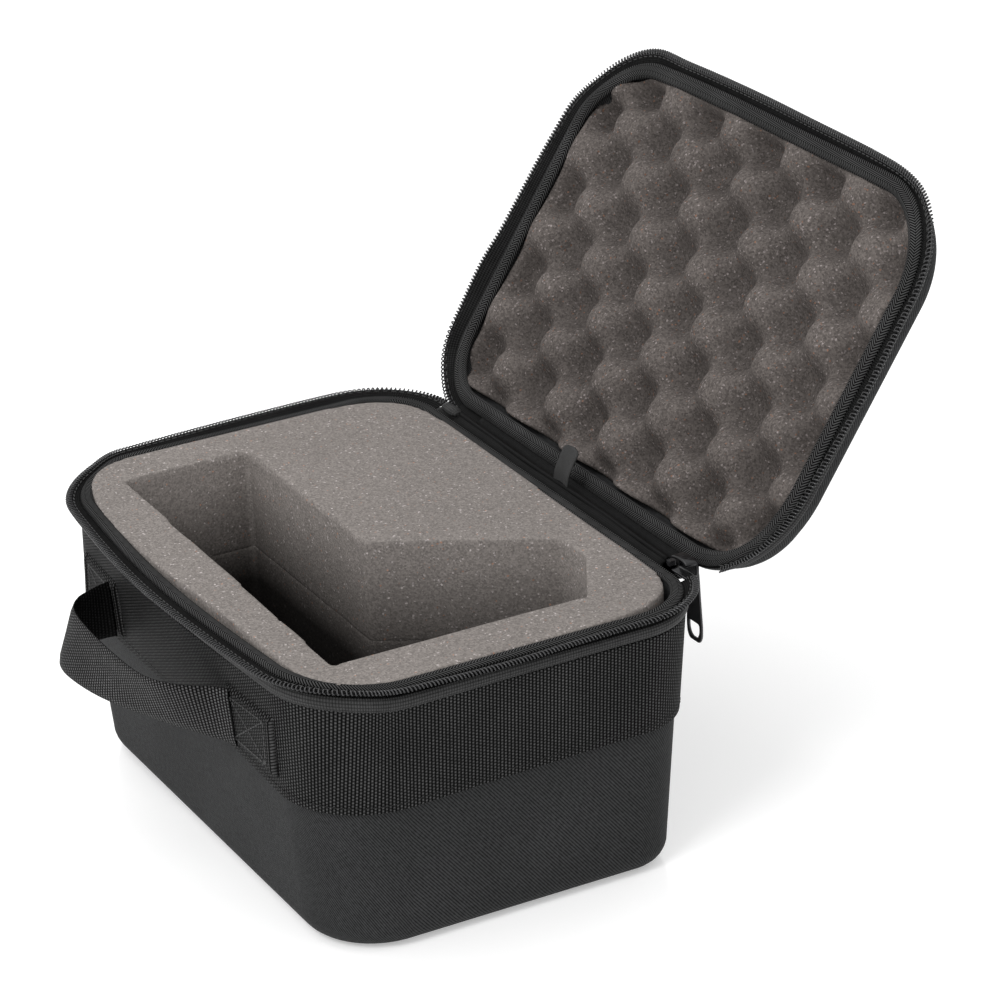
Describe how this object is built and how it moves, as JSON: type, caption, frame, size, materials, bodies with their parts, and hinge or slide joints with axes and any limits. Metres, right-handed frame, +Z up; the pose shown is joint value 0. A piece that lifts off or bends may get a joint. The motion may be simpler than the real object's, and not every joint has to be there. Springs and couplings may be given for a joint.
{
  "type": "padded carry case",
  "caption": "Moulded fabric carry case for game miniatures, open: deep tub with a foam pocket, zipped hinged lid and front webbing handle.",
  "frame": {"origin": "centre of the base's underside, on the surface it stands on", "axes": "+Z up, -Y towards the side with the handle, +Y towards the hinge, +X to the right as seen from the handle"},
  "size_m": [0.2668, 0.3153, 0.2545],
  "materials": {
    "shell_cloth": "matte twill laminated to moulded foam board",
    "webbing": "satin ribbed polyester webbing",
    "thread": "satin bonded thread",
    "piping_cloth": "satin plain cloth",
    "zip_tape": "matte herringbone tape",
    "zip_coil": "gloss nylon coil",
    "insert_foam": "matte open-cell foam",
    "lid_foam": "matte open-cell foam, egg-crate face",
    "ribbon": "matte woven ribbon",
    "slider_metal": "gloss black",
    "pull_metal": "satin dark grey"
  },
  "bodies": {
    "base": {"base_shell": "shell_cloth", "webbing_band": "webbing", "base_rim_piping": "piping_cloth", "base_zip_tape": "zip_tape", "base_zip_teeth": "zip_coil", "zip_end_cover": "piping_cloth", "zip_end_stop": "zip_coil", "foam_floor_pad": "insert_foam", "foam_insert_lower": "insert_foam", "foam_insert_upper": "insert_foam", "handle_end_left": "webbing", "handle_end_right": "webbing", "handle_stitch_left": "thread", "handle_stitch_right": "thread", "handle_root_left": "webbing", "handle_root_right": "webbing", "hinge_strip": "piping_cloth", "ribbon_tab": "ribbon"},
    "lid": {"lid_shell": "shell_cloth", "lid_rim_piping": "piping_cloth", "lid_zip_tape": "zip_tape", "lid_zip_teeth": "zip_coil", "lid_foam": "lid_foam"},
    "slider": {"slider_body": "slider_metal", "slider_bridge": "slider_metal"},
    "pull": {"pull_tab": "pull_metal"},
    "handle": {"handle_strap": "webbing"}
  },
  "joints": [
    {"name": "lid_hinge", "type": "hinge", "parent": "base", "child": "lid", "pos_m": [0, 0.0895, 0.1087], "axis": [1, 0, 0], "range_deg": [0, 124], "deforming": ["hinge_strip", "ribbon_tab"]},
    {"name": "slider_travel", "type": "hinge", "parent": "base", "child": "slider", "pos_m": [0.098, 0.055, 0.1145], "axis": [0, 0, -1], "range_deg": [0, 87]},
    {"name": "pull_swing", "type": "hinge", "parent": "slider", "child": "pull", "pos_m": [0.09667, 0.09318, 0.11335], "axis": [0.9994, 0.0349, 0], "range_deg": [-4, 48]},
    {"name": "handle_swing", "type": "hinge", "parent": "base", "child": "handle", "pos_m": [0, -0.084, 0.082], "axis": [-1, 0, 0], "range_deg": [-18, 18], "stiffness_Nm_per_rad": 0.05, "deforming": ["handle_root_left", "handle_root_right"]}
  ]
}
